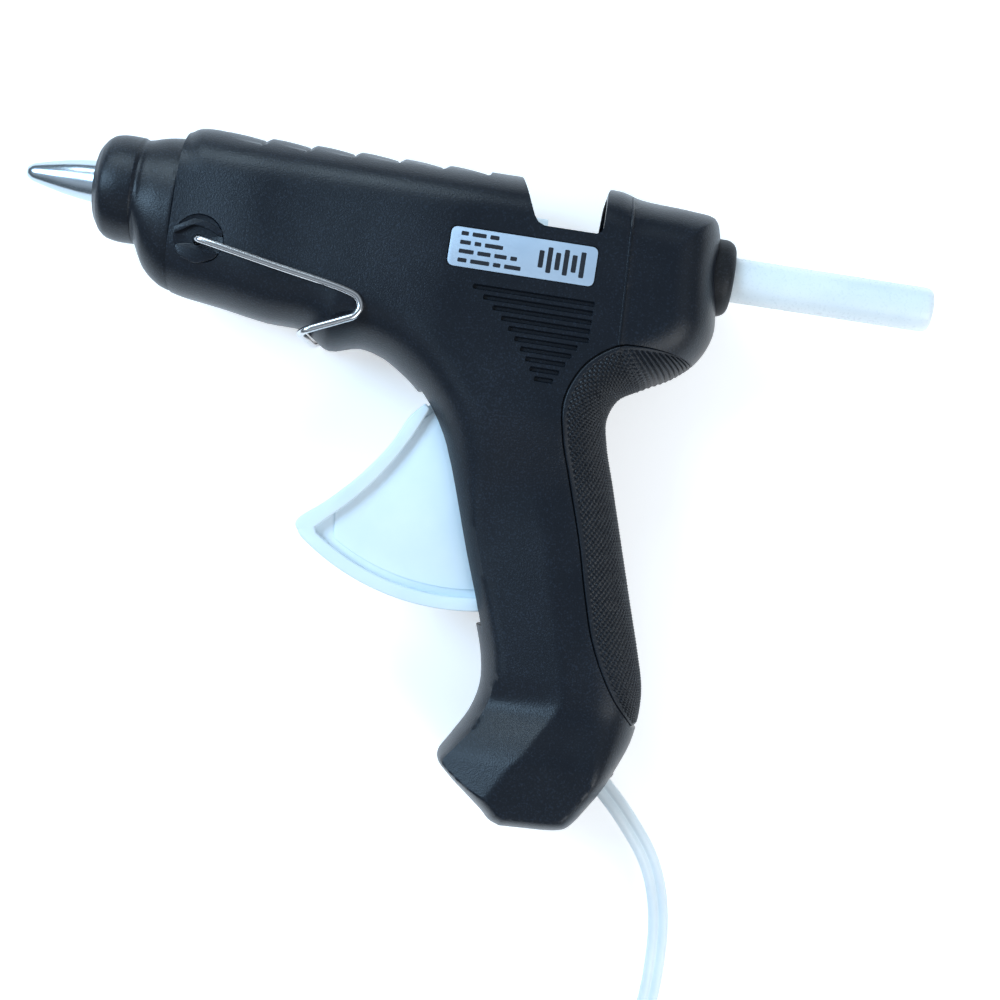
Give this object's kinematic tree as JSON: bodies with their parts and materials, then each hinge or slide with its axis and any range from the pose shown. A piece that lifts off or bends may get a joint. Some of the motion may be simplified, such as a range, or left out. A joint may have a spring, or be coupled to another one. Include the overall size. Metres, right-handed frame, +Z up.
{
  "type": "hot glue gun",
  "caption": "Corded hot glue gun lying on its side, with a squeeze trigger that feeds a glue stick, a metal nozzle, a folded wire stand and a coiled lead.",
  "frame": {"origin": "on the flat right side, straight below the point of the barrel axis that is above the trigger pivot", "axes": "+X back along the barrel axis, +Y towards the top of the gun, +Z up out of the left side"},
  "size_m": [0.2596, 0.296, 0.038],
  "materials": {
    "shell": "fine speckled grain, satin",
    "nose": "satin, heat resistant",
    "grip_rubber": "knurled",
    "black_plastic": "satin",
    "white_plastic": "satin",
    "glue": "translucent",
    "steel": "bright",
    "aluminium": "turned",
    "brass": "bright",
    "ceramic": "matte",
    "film": "smooth",
    "silicone": "matte",
    "label": "brushed foil",
    "cord": "smooth"
  },
  "bodies": {
    "base": {"left_shell": "shell", "right_shell": "shell", "left_grip_pad": "grip_rubber", "right_grip_pad": "grip_rubber", "rating_label": "label", "nose_piece": "nose", "nozzle": "aluminium", "valve_spring": "steel", "heating_chamber": "aluminium", "heater_film": "film", "upper_contact": "brass", "ptc_heater": "ceramic", "lower_contact": "brass", "inlet_sleeve": "silicone", "sleeve_clip": "steel", "rear_guide_bush": "black_plastic", "trigger_pivot_pin": "steel", "trigger_spring": "steel", "cord_clamp_bar": "black_plastic", "clamp_screw_upper": "steel", "clamp_screw_lower": "steel", "cord_grommet": "black_plastic", "crimp_left": "steel", "crimp_right": "steel", "heater_lead_left": "cord", "heater_lead_right": "cord", "cord_lead": "cord", "cord_coil": "cord", "cord_tail": "cord", "coil_tie": "black_plastic", "plug_body": "cord", "plug_blade_upper": "brass", "plug_blade_lower": "brass", "shell_screw_1": "steel", "shell_screw_2": "steel", "shell_screw_3": "steel", "shell_screw_4": "steel", "shell_screw_5": "steel", "shell_screw_6": "steel", "shell_screw_7": "steel"},
    "trigger": {"trigger": "white_plastic"},
    "carriage": {"feed_carriage": "white_plastic", "grip_pawl": "steel", "pawl_pin": "steel"},
    "stick": {"glue_stick": "glue"},
    "stand": {"wire_stand": "steel"},
    "valve": {"valve_ball": "steel"}
  },
  "joints": [
    {"name": "trigger_pull", "type": "hinge", "parent": "base", "child": "trigger", "pos_m": [0, -0.032, 0.019], "axis": [0, 0, 1], "range_deg": [0, 21.7], "stiffness_Nm_per_rad": 0.6, "springref_deg": -17.19, "deforming": ["trigger_spring"]},
    {"name": "carriage_feed", "type": "slide", "parent": "base", "child": "carriage", "axis": [-1, 0, 0], "range_m": [0, 0.0127]},
    {"name": "stick_slide", "type": "slide", "parent": "carriage", "child": "stick", "axis": [1, 0, 0], "range_m": [0, 0.1]},
    {"name": "stand_swing", "type": "hinge", "parent": "base", "child": "stand", "pos_m": [-0.0711, -0.0122, 0.019], "axis": [0, 0, -1], "range_deg": [0, 105]},
    {"name": "valve_lift", "type": "slide", "parent": "base", "child": "valve", "axis": [-1, 0, 0], "range_m": [0, 0.0012], "stiffness_N_per_m": 60, "springref_m": -0.0005, "deforming": ["valve_spring"]}
  ],
  "couplings": [
    {"joint": "carriage_feed", "follows": "trigger_pull", "m_per_rad": 0.033}
  ]
}
